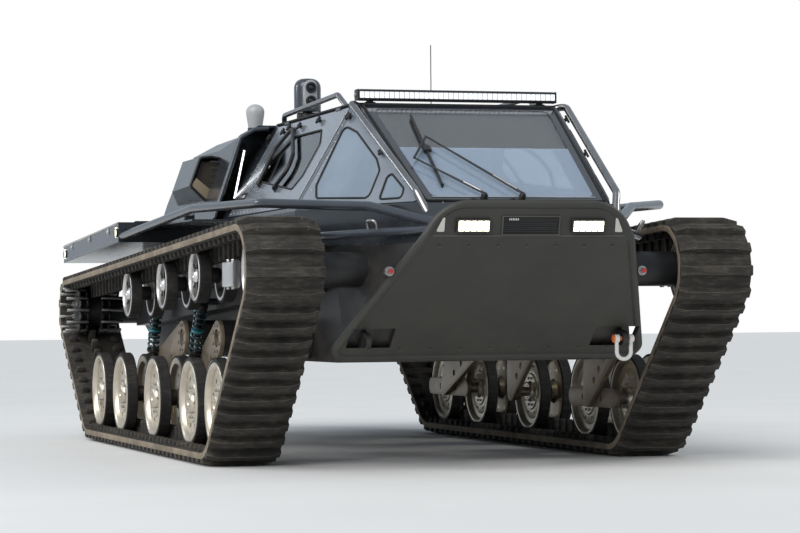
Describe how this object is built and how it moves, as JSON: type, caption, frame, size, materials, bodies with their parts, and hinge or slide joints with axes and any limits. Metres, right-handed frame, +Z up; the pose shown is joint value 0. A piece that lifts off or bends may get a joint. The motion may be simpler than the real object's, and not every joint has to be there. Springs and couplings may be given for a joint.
{
  "type": "tracked all-terrain vehicle",
  "caption": "Low two-seat vehicle on rubber tracks: a sloped nose shield, raked cab with top-hinged doors, long falling tail and a light bar.",
  "frame": {"origin": "on the ground under the middle of the vehicle's length and width", "axes": "+Z up, the vehicle faces -Y, +X is the vehicle's left side"},
  "size_m": [2.5, 5.514, 2.15],
  "materials": {
    "track_rubber": "moulded rubber, dusty",
    "wheel_silver": "machined discs with rubber rims",
    "roller_black": "black powder coat",
    "frame_black": "satin black",
    "arm_bronze": "bronze anodised plate",
    "damper_teal": "dark teal springs",
    "bare_aluminium": "brushed",
    "hull_black": "satin black armour plate",
    "body_gunmetal": "satin gunmetal",
    "shield_olive": "matt olive charcoal",
    "cab_glass": "clear",
    "tube_grey": "satin grey",
    "lamp_lens": "warm white lamp lens",
    "shackle_white": "off-white enamel",
    "camera_black": "gloss black housing",
    "trim_black": "matt black",
    "seat_black": "black seat cover",
    "engine_iron": "plain block"
  },
  "bodies": {
    "root": {"track_left": "track_rubber", "track_right": "track_rubber", "road_wheels_left": "wheel_silver", "road_wheels_right": "wheel_silver", "return_rollers": "roller_black", "front_idlers": "roller_black", "drive_sprockets": "roller_black", "stub_axles": "frame_black", "track_beams": "frame_black", "swing_arms": "arm_bronze", "dampers": "damper_teal", "tensioners": "bare_aluminium", "hull_tub": "hull_black", "hull_deck": "body_gunmetal", "nose_shield": "shield_olive", "cab_frame": "body_gunmetal", "cab_glass": "cab_glass", "rear_body": "body_gunmetal", "side_rails": "tube_grey", "pillar_tubes": "tube_grey", "roof_rails": "tube_grey", "fender_boxes": "body_gunmetal", "marker_lamps": "lamp_lens", "side_scoops": "body_gunmetal", "light_bar": "frame_black", "bar_lens": "lamp_lens", "nose_lamps": "lamp_lens", "nose_grille": "frame_black", "towing_eyes": "frame_black", "shackle": "shackle_white", "tow_hitch": "frame_black", "camera_base": "frame_black", "snorkel": "tube_grey", "antenna": "frame_black", "dashboard": "trim_black", "steering_wheel": "trim_black", "seats": "seat_black", "engine_block": "engine_iron", "wipers": "frame_black"},
    "door_left": {"door_left": "body_gunmetal", "door_glass_left": "cab_glass"},
    "door_right": {"door_right": "body_gunmetal", "door_glass_right": "cab_glass"},
    "engine_cover": {"engine_cover": "body_gunmetal"},
    "camera": {"camera_head": "camera_black"}
  },
  "joints": [
    {"name": "door_left_hinge", "type": "hinge", "parent": "root", "child": "door_left", "pos_m": [0.52331, -0.873, 1.75575], "axis": [0, -1, 0], "range_deg": [0, 75]},
    {"name": "door_right_hinge", "type": "hinge", "parent": "root", "child": "door_right", "pos_m": [-0.52331, -0.873, 1.75575], "axis": [0, 1, 0], "range_deg": [0, 75]},
    {"name": "engine_cover_hinge", "type": "hinge", "parent": "root", "child": "engine_cover", "pos_m": [0, 1.0895, 1.70627], "axis": [1, 0, 0], "range_deg": [0, 60]},
    {"name": "camera_pan", "type": "hinge", "parent": "root", "child": "camera", "pos_m": [-0.3, 0.078, 1.9], "axis": [0, 0, 1], "continuous": true}
  ]
}
